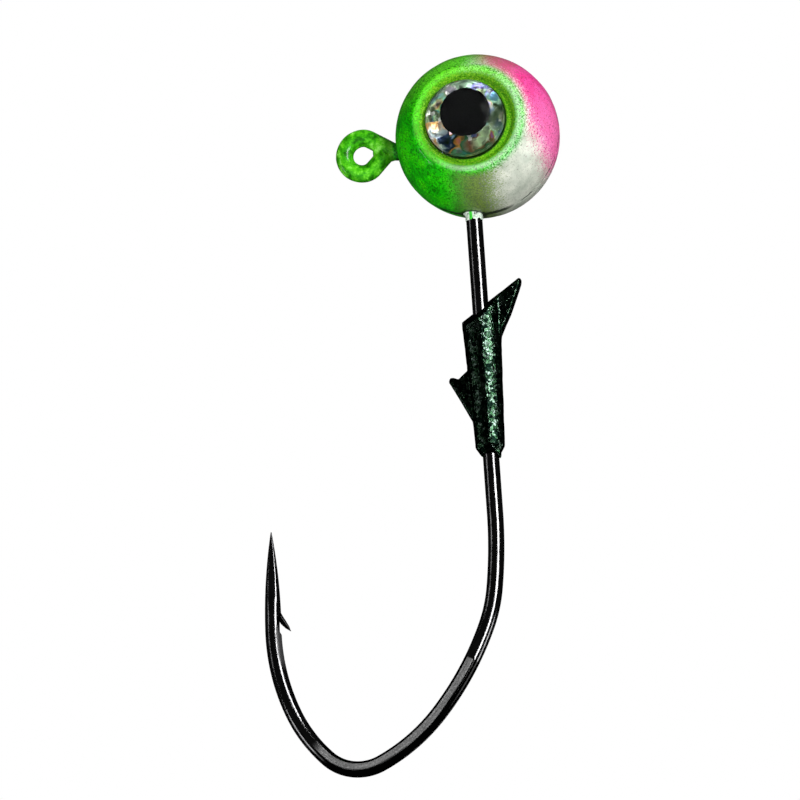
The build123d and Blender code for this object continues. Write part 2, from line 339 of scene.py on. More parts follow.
# ---------------------------------------------------------------- painted ball
def socket_profile():
    """(radius, height) pairs of the ball's left half, from the socket's floor out to the equator."""
    draft = (SOCKET_RIM_R - SOCKET_FLOOR_R) / (math.sqrt(CAD_HEAD_R**2 - SOCKET_RIM_R**2) - SOCKET_FLOOR)
    wall = np.array((draft, 1.0))
    wall /= np.linalg.norm(wall)
    into = np.array((wall[1], -wall[0]))
    # centre of the lip's rounding, tangent to the wall and to the ball
    start = np.array((SOCKET_FLOOR_R, SOCKET_FLOOR)) + into * LIP_R
    b = start @ wall
    c = start @ start - (HEAD_R - LIP_R) ** 2
    centre = start + wall * (-b + math.sqrt(b * b - c))
    on_wall = centre - into * LIP_R
    on_ball = centre * HEAD_R / (HEAD_R - LIP_R)
    corner = 0.14
    rows = [(r, SOCKET_FLOOR) for r in np.linspace(0, SOCKET_FLOOR_R - corner, 20)]
    for t in np.linspace(0.15, 1, 6):
        angle = t * (math.pi / 2 - math.atan(draft))
        rows.append((
            SOCKET_FLOOR_R - corner + corner * math.sin(angle) + 0.01 * t,
            SOCKET_FLOOR + corner * (1 - math.cos(angle)),
        ))
    low = np.array(rows[-1])
    rows += [tuple(low + (on_wall - low) * t) for t in np.linspace(0.1, 1, 10)]
    first = math.atan2(*(on_wall - centre)[::-1])
    last = math.atan2(*(on_ball - centre)[::-1])
    for t in np.linspace(0.04, 1, 24):
        angle = first + (last - first) * t
        rows.append((centre[0] + LIP_R * math.cos(angle), centre[1] + LIP_R * math.sin(angle)))
    edge = math.atan2(on_ball[1], on_ball[0])
    seam = 0.24 / HEAD_R
    for angle in np.linspace(edge, seam, 60)[1:]:
        rows.append((HEAD_R * math.cos(angle), HEAD_R * math.sin(angle)))
    for angle in np.linspace(seam, 0, 13)[1:]:
        rows.append((HEAD_R * math.cos(angle), HEAD_R * math.sin(angle)))
    return rows


half = socket_profile()
profile = [(r, -y) for r, y in half] + [(r, y) for r, y in reversed(half[:-1])]
TURN_STEPS = 288
points = []
for row, (r, y) in enumerate(profile):
    if r < 1e-6:
        points.append((HEAD.x, y, HEAD.z))
        continue
    for j in range(TURN_STEPS):
        angle = 2 * math.pi * j / TURN_STEPS
        spot = Vector((r * math.cos(angle), y, r * math.sin(angle)))
        outward = spot.normalized()
        on_skin = smoothstep(HEAD_R - 0.35, HEAD_R - 0.1, spot.length)
        shift = 0.012 * ripple(spot, 0.7, 3.0) + 0.005 * ripple(spot, 2.6, 8.0)
        # mould parting line: a low flash beside a fine groove
        seam = 0.022 * math.exp(-((y + 0.01) / 0.05) ** 2) - 0.05 * math.exp(-((y - 0.1) / 0.045) ** 2)
        seam *= 0.7 + 0.5 * ripple(spot, 1.4, 5.0)
        shift += seam * on_skin - 0.012
        points.append(tuple(HEAD + spot + outward * min(shift, 0.012)))
faces = []
inner_rows = len(profile) - 2
for j in range(TURN_STEPS):
    k = (j + 1) % TURN_STEPS
    faces.append((0, 1 + j, 1 + k))
    last = 1 + (inner_rows - 1) * TURN_STEPS
    faces.append((last + TURN_STEPS, last + k, last + j))
for row in range(inner_rows - 1):
    low = 1 + row * TURN_STEPS
    for j in range(TURN_STEPS):
        k = (j + 1) % TURN_STEPS
        faces.append((low + j, low + TURN_STEPS + j, low + TURN_STEPS + k, low + k))
ball = mesh_object("painted_ball", points, faces)

# ---------------------------------------------------------------- painted line tie
ring_path = trace(3.2, 0, 180, ((None, 3.2 - stem_x), *LOOP_MOVES[1:]), step=0.08)


def ring_section(travelled, angles):
    """The painted wire's section, with a slow swell in the paint."""
    swell = 0.010 * ripple((travelled * 1.3, 0.0, 0.0), 1.0, 2.0)
    radius = PAINTED_R + 0.004 + swell
    return radius * np.cos(angles), radius * np.sin(angles)


points, _ = sweep(ring_path, ring_section, even_angles(40))
ring_tube = mesh_object("ring_tube", points, tube_faces(len(ring_path), 40))


def blob(name, centre, size):
    """An egg of paint, in millimetres."""
    build = bmesh.new()
    bmesh.ops.create_icosphere(build, subdivisions=4, radius=1)
    bmesh.ops.scale(build, vec=Vector(size) * MM, verts=build.verts)
    bmesh.ops.translate(build, vec=Vector(centre) * MM, verts=build.verts)
    mesh = bpy.data.meshes.new(name)
    build.to_mesh(mesh)
    build.free()
    piece = bpy.data.objects.new(name, mesh)
    bpy.context.scene.collection.objects.link(piece)
    return piece


webs = [
    blob("web_hole", (1.12, 0, 0.06), (0.48, 0.36, 0.56)),
    blob("web_stem", (1.75, 0, -0.2), (0.62, 0.46, 0.37)),
]
ring_piece = settle(remeshed("painted_ring", [ring_tube, *webs], 0.04, 5))

# ---------------------------------------------------------------- paint run down the shank
SLEEVE_SIDES = 72
SLEEVE_ROWS = 22
SLEEVE_TOP = -4.5
SLEEVE_EDGE = -4.95
sleeve_points = []
for i in range(SLEEVE_ROWS):
    for j in range(SLEEVE_SIDES):
        angle = 2 * math.pi * j / SLEEVE_SIDES
        across = (math.cos(angle), math.sin(angle))
        ragged = 0.34 + 0.26 * ripple((across[0] * 1.6, across[1] * 1.6, 0), 1.0, 4.0)
        ragged += 0.14 * ripple((across[0] * 5, across[1] * 5, 0), 1.0, 9.0)
        bottom = SLEEVE_EDGE - max(0.06, min(ragged, 0.34))
        t = i / (SLEEVE_ROWS - 1)
        z = SLEEVE_TOP + (bottom - SLEEVE_TOP) * t
        body = 0.04 * (1 - smoothstep(0.86, 1.0, t)) - 0.012 * smoothstep(0.9, 1.0, t)
        body += 0.10 * smoothstep(-4.92, -4.75, z)
        body += 0.012 * ripple((across[0] * 3, across[1] * 3, z * 3), 1.0, 6.0) * (1 - t)
        radius = WIRE_R + body
        sleeve_points.append((SHANK_X + radius * across[0], radius * across[1], z))
sleeve = mesh_object("shank_paint", sleeve_points, tube_faces(SLEEVE_ROWS, SLEEVE_SIDES))
sleeve.data.flip_normals()

# ---------------------------------------------------------------- bait keeper
keeper_copy = bpy.data.objects.new("keeper_copy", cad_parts["bait_keeper"].data.copy())
bpy.context.scene.collection.objects.link(keeper_copy)
flap = blob("flap", (SHANK_X + 0.6, -0.12, KEEPER_TAIL_Z + 0.06), (0.12, 0.34, 0.36))
keeper = remeshed("keeper_body", [keeper_copy, flap], 0.045, 7)
for vertex in keeper.data.vertices:
    spot = vertex.co
    off_axis = Vector((spot.x - SHANK_X, spot.y, 0))
    if off_axis.length < WIRE_R + 0.08:
        continue
    wave = 0.022 * ripple(spot, 0.8, 1.0) + 0.012 * ripple(spot, 3.0, 2.0) - 0.012
    vertex.co = spot + off_axis.normalized() * wave
settle(keeper)

# ---------------------------------------------------------------- eyes
def disc_rows(rings, sides):
    """Faces of a disc solid: top rings out from a centre point, then the underside."""
    faces = []
    for j in range(sides):
        k = (j + 1) % sides
        faces.append((0, 1 + j, 1 + k))
        for i in range(rings - 1):
            low = 1 + i * sides
            faces.append((low + j, low + sides + j, low + sides + k, low + k))
        last = 1 + (rings - 1) * sides
        faces.append((last + j, last + sides, last + k))
    return faces


def turned(name, rows, centre, side, outline=None, sides=128):
    """A solid turned about an eye's axis from (radius, height) rows, the first and last on the axis."""
    points = []
    for r, y in rows:
        if r < 1e-6:
            points.append((centre.x, side * y, centre.z))
            continue
        for j in range(sides):
            angle = 2 * math.pi * j / sides
            reach = r * (outline(angle) if outline else 1.0)
            points.append((centre.x + reach * math.cos(angle), side * y, centre.z + reach * math.sin(angle)))
    # disc_rows winds for an axis along -Y
    faces = disc_rows(len(rows) - 2, sides)
    if side > 0:
        faces = [tuple(reversed(face)) for face in faces]
    return mesh_object(name, points, faces)


dome_curve_r = (DOME_R**2 + (DOME_HEIGHT - DOME_EDGE) ** 2) / (2 * (DOME_HEIGHT - DOME_EDGE))
eye_pieces = []
for side_name, side in (("left", -1), ("right", 1)):
    eye_centre = HEAD + EYE_SHIFT
    foil_top = DOME_BASE
    foil_rows = [(0, foil_top)]
    for r in np.linspace(0.1, FOIL_R - 0.02, 26):
        foil_rows.append((r, foil_top))
    foil_rows += [(FOIL_R, foil_top - 0.02), (FOIL_R, FOIL_BASE + 0.01), (0, FOIL_BASE + 0.01)]
    foil = turned(f"foil_disc_{side_name}", foil_rows, eye_centre, side)

    def ragged_edge(angle, seed=side):
        """The printed pupil's outline, as a share of its radius."""
        coarse_wave = 0.012 * ripple((math.cos(angle) * 2.2, math.sin(angle) * 2.2, seed), 1.0, 7.0)
        fine_wave = 0.016 * ripple((math.cos(angle) * 9, math.sin(angle) * 9, seed), 1.0, 3.0)
        notch = 0.035 * math.exp(-((angle - 6.15) / 0.06) ** 2)
        return 0.982 + coarse_wave + fine_wave + notch * 0.4

    pupil_rows = [(0, DOME_BASE + 0.012)]
    for r in np.linspace(0.2, PUPIL_R - 0.01, 8):
        pupil_rows.append((r, DOME_BASE + 0.012))
    pupil_rows += [(PUPIL_R, DOME_BASE + 0.004), (PUPIL_R, DOME_BASE - 0.03), (0, DOME_BASE - 0.03)]
    pupil_centre = eye_centre + PUPIL_SHIFT
    pupil = turned(f"pupil_disc_{side_name}", pupil_rows, pupil_centre, side, outline=ragged_edge)

    crown = []
    top = math.asin(DOME_R / dome_curve_r)
    for t in np.linspace(0, 1, 40):
        angle = top * t
        crown.append((
            dome_curve_r * math.sin(angle),
            DOME_BASE + DOME_HEIGHT - dome_curve_r * (1 - math.cos(angle)),
        ))
    soft = 0.05
    crown = crown[:-1] + [
        (DOME_R - 0.012, DOME_BASE + DOME_EDGE + 0.01),
        (DOME_R, DOME_BASE + DOME_EDGE - soft),
        (DOME_R, DOME_BASE + 0.03),
        (DOME_R - 0.02, DOME_BASE - 0.02),
        (0, DOME_BASE - 0.02),
    ]
    dome = turned(f"clear_dome_{side_name}", crown, eye_centre, side, sides=160)
    eye_pieces.append((side_name, foil, pupil, dome))


# ---------------------------------------------------------------- materials
class Shader:
    """A small builder for one material's nodes."""

    def __init__(self, name):
        self.material = bpy.data.materials.new(name)
        self.material.use_nodes = True
        self.nodes = self.material.node_tree.nodes
        self.links = self.material.node_tree.links
        self.surface = self.nodes["Principled BSDF"]

    def node(self, kind, inputs=None, **settings):
        made = self.nodes.new(kind)
        for key, value in settings.items():
            setattr(made, key, value)
        for key, value in (inputs or {}).items():
            self.feed(made.inputs[key], value)
        return made

    def feed(self, socket, value):
        if hasattr(value, "is_output") or isinstance(value, bpy.types.NodeSocket):
            self.links.new(value, socket)
        else:
            socket.default_value = value

    def set(self, **values):
        for key, value in values.items():
            self.feed(self.surface.inputs[key.replace("_", " ")], value)

    def math(self, operation, a, b=0.0, clamp=False):
        made = self.node("ShaderNodeMath", {0: a, 1: b}, operation=operation)
        made.use_clamp = clamp
        return made.outputs[0]

    def place(self, scale=1.0, offset=(0, 0, 0), stretch=(1, 1, 1)):
        """Row-frame position in millimetres, times scale, less offset."""
        spot = self.node("ShaderNodeTexCoord").outputs["Object"]
        size = tuple(s * scale / MM for s in stretch)
        shift = tuple(-o * s * scale for o, s in zip(offset, stretch))
        made = self.node("ShaderNodeMapping", {"Vector": spot, "Location": shift, "Scale": size})
        return made.outputs[0]

    def along(self, scale):
        """Position on the wire's skin in millimetres: round it, along it."""
        spot = self.node("ShaderNodeUVMap", uv_map="along").outputs[0]
        return self.node("ShaderNodeMapping", {"Vector": spot, "Scale": (*scale, 1)}).outputs[0]

    def noise(self, vector, scale, detail=2.0, roughness=0.5):
        made = self.node("ShaderNodeTexNoise", {
            "Vector": vector, "Scale": scale, "Detail": detail, "Roughness": roughness,
        })
        return made.outputs[0]

    def cells(self, vector, scale):
        return self.node("ShaderNodeTexVoronoi", {"Vector": vector, "Scale": scale})

    def soft_cells(self, vector, scale):
        """Cells whose edges run into one another."""
        inputs = {"Vector": vector, "Scale": scale, "Smoothness": 0.6}
        return self.node("ShaderNodeTexVoronoi", inputs, feature="SMOOTH_F1")

    def step(self, value, low, high):
        """0 below low, 1 above high, smooth between."""
        made = self.node("ShaderNodeMapRange", {0: value, 1: low, 2: high}, interpolation_type="SMOOTHSTEP")
        return made.outputs[0]

    def mix(self, factor, a, b, blend="MIX"):
        made = self.node("ShaderNodeMix", data_type="RGBA", blend_type=blend)
        self.feed(made.inputs[0], factor)
        self.feed(made.inputs[6], a)
        self.feed(made.inputs[7], b)
        return made.outputs[2]

    def ramp(self, value, stops):
        made = self.node("ShaderNodeValToRGB", {0: value})
        bar = made.color_ramp
        while len(bar.elements) < len(stops):
            bar.elements.new(0.5)
        for element, (spot, colour) in zip(bar.elements, stops):
            element.position = spot
            element.color = colour
        return made.outputs[0]

    def bump(self, height, strength, distance, normal=None):
        made = self.node("ShaderNodeBump", {"Height": height, "Strength": strength, "Distance": distance})
        if normal is not None:
            self.feed(made.inputs["Normal"], normal)
        return made.outputs[0]

    def dot(self, vector, direction):
        made = self.node("ShaderNodeVectorMath", {0: vector, 1: direction}, operation="DOT_PRODUCT")
        return made.outputs["Value"]

    def length(self, vector):
        made = self.node("ShaderNodeVectorMath", {0: vector}, operation="LENGTH")
        return made.outputs["Value"]

    def axes(self, vector):
        made = self.node("ShaderNodeSeparateXYZ", {0: vector})
        return made.outputs[0], made.outputs[1], made.outputs[2]


def nickel_material():
    """Black nickel: dark, sharp, with drawing lines and faint blotches along the wire."""
    s = Shader("black_nickel")
    streak = s.noise(s.along((9, 0.35)), 1.0, 3.0, 0.6)
    grain = s.noise(s.along((9, 6)), 1.0, 4.0, 0.65)
    blotch = s.noise(s.place(0.55), 1.0, 4.0, 0.6)
    tone = s.ramp(blotch, ((0.32, (0.11, 0.11, 0.113, 1)), (0.7, (0.22, 0.22, 0.223, 1))))
    tone = s.mix(s.step(streak, 0.4, 0.8), tone, (0.06, 0.06, 0.062, 1))
    # pressing left the flats round the bend satin; the wire's round sides beside them are painted near
    # black, a painted shade
    round_it, down_it, _ = s.axes(s.along((1, 1)))
    forged = s.step(down_it, forge_low - 0.03, forge_low + 0.05)
    forged = s.math("MULTIPLY", forged, s.step(down_it, forge_high, forge_high - 0.9))
    depth = s.math("ABSOLUTE", s.axes(s.place(1.0))[1])
    inward = s.math("MULTIPLY", s.math("COSINE", s.math("DIVIDE", round_it, WIRE_R)), WIRE_R)
    inward = s.math("ADD", inward, s.math("MULTIPLY", s.math("SUBTRACT", streak, 0.5), -0.25))
    pressed = s.math("MULTIPLY", forged, s.step(depth, FORGE_HALF - 0.005, FORGE_HALF - 0.001))
    pressed = s.math("MULTIPLY", pressed, s.step(s.math("MULTIPLY", inward, -1), -0.2, -0.12))
    mottle = s.math("ADD", s.math("MULTIPLY", grain, 0.6), s.math("MULTIPLY", streak, 0.4))
    satin = s.ramp(mottle, (
        (0.35, (0.07, 0.07, 0.07, 1)), (0.5, (0.15, 0.15, 0.15, 1)), (0.65, (0.30, 0.30, 0.30, 1)),
    ))
    # painted shade: the whole pressed stretch is painted near black, and the flats get their satin tone back
    # below
    tone = s.mix(s.math("MULTIPLY", forged, 0.9), tone, (0.008, 0.008, 0.008, 1))
    # the face that the barb was cut from, and the barb
    off_cut = s.math("ABSOLUTE", s.math("SUBTRACT", round_it, 1.97))
    arch = s.math("ADD", down_it, s.math("MULTIPLY", s.math("POWER", off_cut, 2.0), 3.5))
    raw = s.step(down_it, point_start - 3.4, point_start - 2.2)
    raw = s.math("MULTIPLY", raw, s.step(arch, point_start - 0.05, point_start - 0.12))
    raw = s.math("MULTIPLY", raw, s.step(off_cut, 0.29, 0.25))
    barb = s.step(down_it, BARB_ALONG - 100, BARB_ALONG - 50)
    tone = s.mix(s.math("MULTIPLY", raw, 0.8), tone, (0.06, 0.06, 0.06, 1))
    tone = s.mix(pressed, tone, satin)
    tone = s.mix(barb, tone, (0.02, 0.02, 0.02, 1))
    satiny = s.math("MAXIMUM", pressed, s.math("MULTIPLY", raw, 0.7))
    s.set(Base_Color=tone, Metallic=s.math("SUBTRACT", 1.0, s.math("MULTIPLY", satiny, 0.6)))
    rough = s.math("ADD", s.math("MULTIPLY", grain, 0.16), 0.02)
    s.set(Roughness=s.math("ADD", rough, s.math("MULTIPLY", satiny, 0.35)))
    s.surface.inputs["Specular Tint"].default_value = (0.35, 0.35, 0.35, 1)
    fine = s.bump(streak, 0.3, 0.00002)
    s.set(Normal=s.bump(grain, 0.3, 0.00002, fine))
    return s.material


def paint_material():
    """Green nose and eye surrounds, pearl belly, pink crown at the back, all under clear coat."""
    s = Shader("airbrushed_paint")
    from_head = s.place(1.0, HEAD)
    x, y, z = s.axes(from_head)
    mist = s.noise(s.place(1.0), 9.0, 2.0, 0.7)
    grit = s.noise(s.place(1.0), 16.0, 1.0, 0.5)
    cloud = s.noise(s.place(1.0), 1.1, 3.0, 0.55)
    dots = s.math("MULTIPLY", s.math("SUBTRACT", grit, 0.5), 0.8)
    dots = s.math("ADD", s.math("SUBTRACT", mist, 0.5), dots)

    # coat colours
    green = s.ramp(cloud, (
        (0.30, (0.003, 0.32, 0.0, 1)), (0.50, (0.008, 0.60, 0.0, 1)), (0.72, (0.05, 0.80, 0.0, 1)),
    ))
    green = s.mix(s.math("MULTIPLY", s.step(z, 0.5, 3.5), 0.6), green, (0.20, 0.80, 0.03, 1))
    specks = s.step(s.noise(s.place(1.0), 6.0, 2.0, 0.55), 0.56, 0.66)
    green = s.mix(s.step(dots, -0.02, 0.17), green, (0.003, 0.14, 0.0, 1))
    green = s.mix(s.math("MULTIPLY", specks, 0.75), green, (0.003, 0.07, 0.0, 1))
    pearl = s.ramp(cloud, ((0.3, (0.50, 0.56, 0.46, 1)), (0.7, (0.82, 0.85, 0.74, 1))))
    # painted highlight: the pearl is painted whiter towards the top
    pearl = s.mix(s.math("MULTIPLY", s.step(z, -1.6, 0.8), 0.7), pearl, (0.97, 0.98, 0.90, 1))
    pearl = s.mix(s.step(dots, 0.10, 0.30), pearl, (0.30, 0.32, 0.26, 1))
    pink = s.ramp(cloud, ((0.3, (0.80, 0.018, 0.22, 1)), (0.7, (0.88, 0.10, 0.42, 1))))
    # painted highlight: the pink is painted paler towards the bottom
    pink = s.mix(s.math("MULTIPLY", s.step(z, 3.2, -1.0), 0.33), pink, (0.90, 0.38, 0.64, 1))
    pink = s.mix(s.step(dots, 0.06, 0.24), pink, (0.34, 0.012, 0.08, 1))
    pink = s.mix(s.math("MULTIPLY", specks, 0.4), pink, (0.30, 0.012, 0.07, 1))
    olive = s.ramp(mist, ((0.4, (0.045, 0.10, 0.003, 1)), (0.6, (0.20, 0.34, 0.02, 1))))

    # where each coat lies: sprayed from the nose, round each eye, and from the upper back
    spray = s.math("MULTIPLY", dots, 2.6)
    nose = s.math("ADD", s.dot(from_head, (-1.0, 0, 0.22)), spray)
    green_zone = s.step(nose, -1.2, 1.2)
    depth = s.math("ABSOLUTE", y)
    eye_zone = s.step(s.math("ADD", depth, s.math("MULTIPLY", dots, 0.7)), 3.45, 4.0)
    floor_zone = s.step(s.length(from_head), HEAD_R - 0.12, HEAD_R - 0.45)
    crown = s.dot(from_head, (math.cos(math.radians(32)), 0, math.sin(math.radians(32))))
    crown = s.math("ADD", crown, s.math("MULTIPLY", dots, 3.2))
    crown = s.math("SUBTRACT", crown, s.math("MULTIPLY", depth, 0.2))
    pink_zone = s.step(crown, 1.4, 2.9)
    off_eye = s.math("SUBTRACT", depth, s.math("MULTIPLY", dots, 1.6))
    pink_zone = s.math("MULTIPLY", pink_zone, s.step(off_eye, 4.3, 3.2))

    colour = s.mix(pink_zone, pearl, pink)
    above = s.math("MULTIPLY", s.step(z, 0.5, 1.8), 0.35)
    fringe = s.math("ADD", s.math("MULTIPLY", s.step(z, -0.5, -1.8), 0.9), above)
    colour = s.mix(s.math("MULTIPLY", fringe, s.step(nose, -3.0, -1.5)), colour, olive)
    greened = s.math("MAXIMUM", s.math("MAXIMUM", green_zone, eye_zone), floor_zone)
    colour = s.mix(greened, colour, green)
    # a thinner, darker coat on the line tie, mottled from dark to pale green; its pale patches are painted
    # highlights
    reach = s.length(from_head)
    on_tie = s.step(reach, HEAD_R + 0.1, HEAD_R + 0.4)
    mottle = s.ramp(s.noise(s.place(1.0), 1.3, 4.0, 0.68), (
        (0.36, (0.008, 0.11, 0.0, 1)), (0.47, (0.03, 0.33, 0.002, 1)), (0.56, (0.10, 0.56, 0.01, 1)),
        (0.66, (0.26, 0.80, 0.10, 1)),
    ))
    colour = s.mix(on_tie, colour, mottle)
    # painted shade: the stem is darkened where it goes into the ball
    stem = s.math("MULTIPLY", on_tie, s.step(reach, HEAD_R + 1.4, HEAD_R + 0.3))
    colour = s.mix(s.math("MULTIPLY", stem, 0.6), colour, (0.02, 0.11, 0.002, 1))
    # painted highlight: the lips round the eyes are painted pale, green on the nose side and white towards
    # the back and bottom
    lip = s.math("MULTIPLY", s.step(depth, 3.82, 4.02), s.step(depth, 4.42, 4.2))
    lip = s.math("MULTIPLY", lip, s.step(dots, 0.30, 0.08))
    away = s.step(s.dot(from_head, (0.8, 0, -0.6)), -0.8, 2.0)
    lip_highlight_colour = s.mix(away, (0.30, 0.88, 0.10, 1), (0.95, 0.98, 0.88, 1))
    colour = s.mix(s.math("MULTIPLY", lip, 0.85), colour, lip_highlight_colour)
    inside = s.ramp(mist, (
        (0.40, (0.03, 0.14, 0.0, 1)), (0.52, (0.11, 0.36, 0.006, 1)), (0.66, (0.30, 0.58, 0.03, 1)),
    ))
    colour = s.mix(s.math("MULTIPLY", floor_zone, 0.85), colour, inside)
    # painted shadow: a dark ring on the socket floor round the dome's edge
    from_dome = s.math("SUBTRACT", s.length(s.place(1.0, HEAD + EYE_SHIFT, (1, 0, 1))), DOME_R)
    gap = s.math("MULTIPLY", floor_zone, s.step(from_dome, 0.15, 0.04))
    colour = s.mix(gap, colour, (0.004, 0.014, 0.002, 1))

    # dark rims: the parting line, and painted shade round the shank and round the stem where they enter the
    # ball
    on_ball = s.step(reach, HEAD_R - 0.3, HEAD_R - 0.1)
    on_ball = s.math("MULTIPLY", on_ball, s.step(reach, HEAD_R + 0.3, HEAD_R + 0.1))
    from_shank = s.length(s.place(1.0, (SHANK_X, 0, 0), (1, 1, 0)))
    below = s.step(z, -4.2, -4.6)
    shank_shade = s.step(s.math("ADD", from_shank, s.math("MULTIPLY", dots, 0.7)), 1.0, 0.78)
    shank_shade = s.math("MULTIPLY", shank_shade, below)
    from_stem = s.math("ADD", s.length(s.place(1.0, (0, 0, 0), (0, 1, 1))), dots)
    at_nose = s.step(x, -4.2, -4.6)
    stem_shade = s.math("MULTIPLY", s.step(from_stem, 1.5, 0.8), at_nose)
    off_seam = s.math("ABSOLUTE", s.math("ADD", y, s.math("MULTIPLY", dots, 0.3)))
    patchy = s.step(s.noise(s.place(1.0), 1.3, 2.0, 0.5), 0.38, 0.58)
    near_shank = s.math("MULTIPLY", s.step(from_shank, 2.8, 2.0), below)
    near_stem = s.math("MULTIPLY", s.step(from_stem, 2.6, 1.8), at_nose)
    at_ends = s.math("MAXIMUM", near_shank, near_stem)
    hairline = s.math("MULTIPLY", s.step(off_seam, 0.13, 0.06), patchy)
    seam = s.math("MAXIMUM", hairline, s.math("MULTIPLY", s.step(off_seam, 0.30, 0.18), at_ends))
    dark = s.math("MAXIMUM", s.math("MAXIMUM", seam, shank_shade), s.math("MULTIPLY", stem_shade, 0.75))
    dark = s.math("MULTIPLY", dark, on_ball)
    colour = s.mix(s.math("MULTIPLY", dark, 0.92), colour, (0.006, 0.012, 0.006, 1))
    s.set(Base_Color=colour)

    flake = s.math("MULTIPLY", s.math("SUBTRACT", 1.0, greened), s.math("SUBTRACT", 1.0, pink_zone))
    s.set(Metallic=s.math("MULTIPLY", flake, 0.3))
    s.set(Roughness=s.math("ADD", s.math("MULTIPLY", mist, 0.25), 0.35))
    s.surface.inputs["Specular IOR Level"].default_value = 0.12
    s.surface.inputs["Coat Weight"].default_value = 0.6
    s.surface.inputs["Coat Roughness"].default_value = 0.12
    s.surface.inputs["Coat IOR"].default_value = 1.5
    peel = s.bump(s.noise(s.place(1.0), 2.2, 2.0, 0.5), 0.25, 0.00012)
    s.set(Normal=s.bump(dots, 0.35, 0.00004, peel))
    s.feed(s.surface.inputs["Coat Normal"], peel)
    return s.material


def sleeve_material():
    """The same coats thinned out where they ran down the shank: mint white with a green streak."""
    s = Shader("run_paint")
    x = s.axes(s.place(1.0, (SHANK_X, 0, 0)))[0]
    mist = s.noise(s.place(1.0), 7.0, 3.0, 0.6)
    white = s.ramp(mist, ((0.35, (0.36, 0.52, 0.36, 1)), (0.6, (0.85, 0.95, 0.85, 1))))
    streak = s.step(s.math("ABSOLUTE", s.math("ADD", x, 0.12)), 0.16, 0.05)
    colour = s.mix(streak, white, (0.03, 0.6, 0.02, 1))
    chip = s.step(s.noise(s.place(1.0), 4.5, 2.0, 0.6), 0.60, 0.66)
    colour = s.mix(chip, colour, (0.015, 0.02, 0.015, 1))
    s.set(Base_Color=colour, Roughness=0.3)
    s.surface.inputs["Coat Weight"].default_value = 0.8
    s.surface.inputs["Coat Roughness"].default_value = 0.08
    s.set(Normal=s.bump(mist, 0.5, 0.00006))
    return s.material


def keeper_material():
    """Near-black green resin with fine glitter in its skin."""
    s = Shader("keeper_resin")
    glitter = s.cells(s.place(1.0), 7.5)
    sparkle = s.cells(s.place(1.0), 4.2)
    cloud = s.noise(s.place(1.0), 1.6, 3.0, 0.6)
    base = s.ramp(cloud, ((0.3, (0.0015, 0.005, 0.003, 1)), (0.7, (0.004, 0.012, 0.008, 1))))
    tint = s.ramp(s.axes(glitter.outputs["Color"])[0], (
        (0.0, (0.003, 0.010, 0.004, 1)), (0.3, (0.03, 0.09, 0.04, 1)), (0.6, (0.10, 0.19, 0.12, 1)),
        (0.95, (0.20, 0.28, 0.24, 1)),
    ))
    lit = s.step(s.axes(sparkle.outputs["Color"])[1], 0.3, 0.6)
    colour = s.mix(s.math("MULTIPLY", lit, 0.8), base, tint)
    s.set(Base_Color=colour, Metallic=1.0)
    s.set(Roughness=s.math("ADD", s.math("MULTIPLY", cloud, 0.12), 0.10))
    s.surface.inputs["Specular Tint"].default_value = (0.05, 0.08, 0.07, 1)
    rough = s.noise(s.place(1.0), 6.0, 3.0, 0.65)
    lumps = s.bump(s.math("ADD", rough, s.math("MULTIPLY", glitter.outputs["Distance"], 0.5)), 0.45, 0.0001)
    s.set(Normal=lumps)
    return s.material


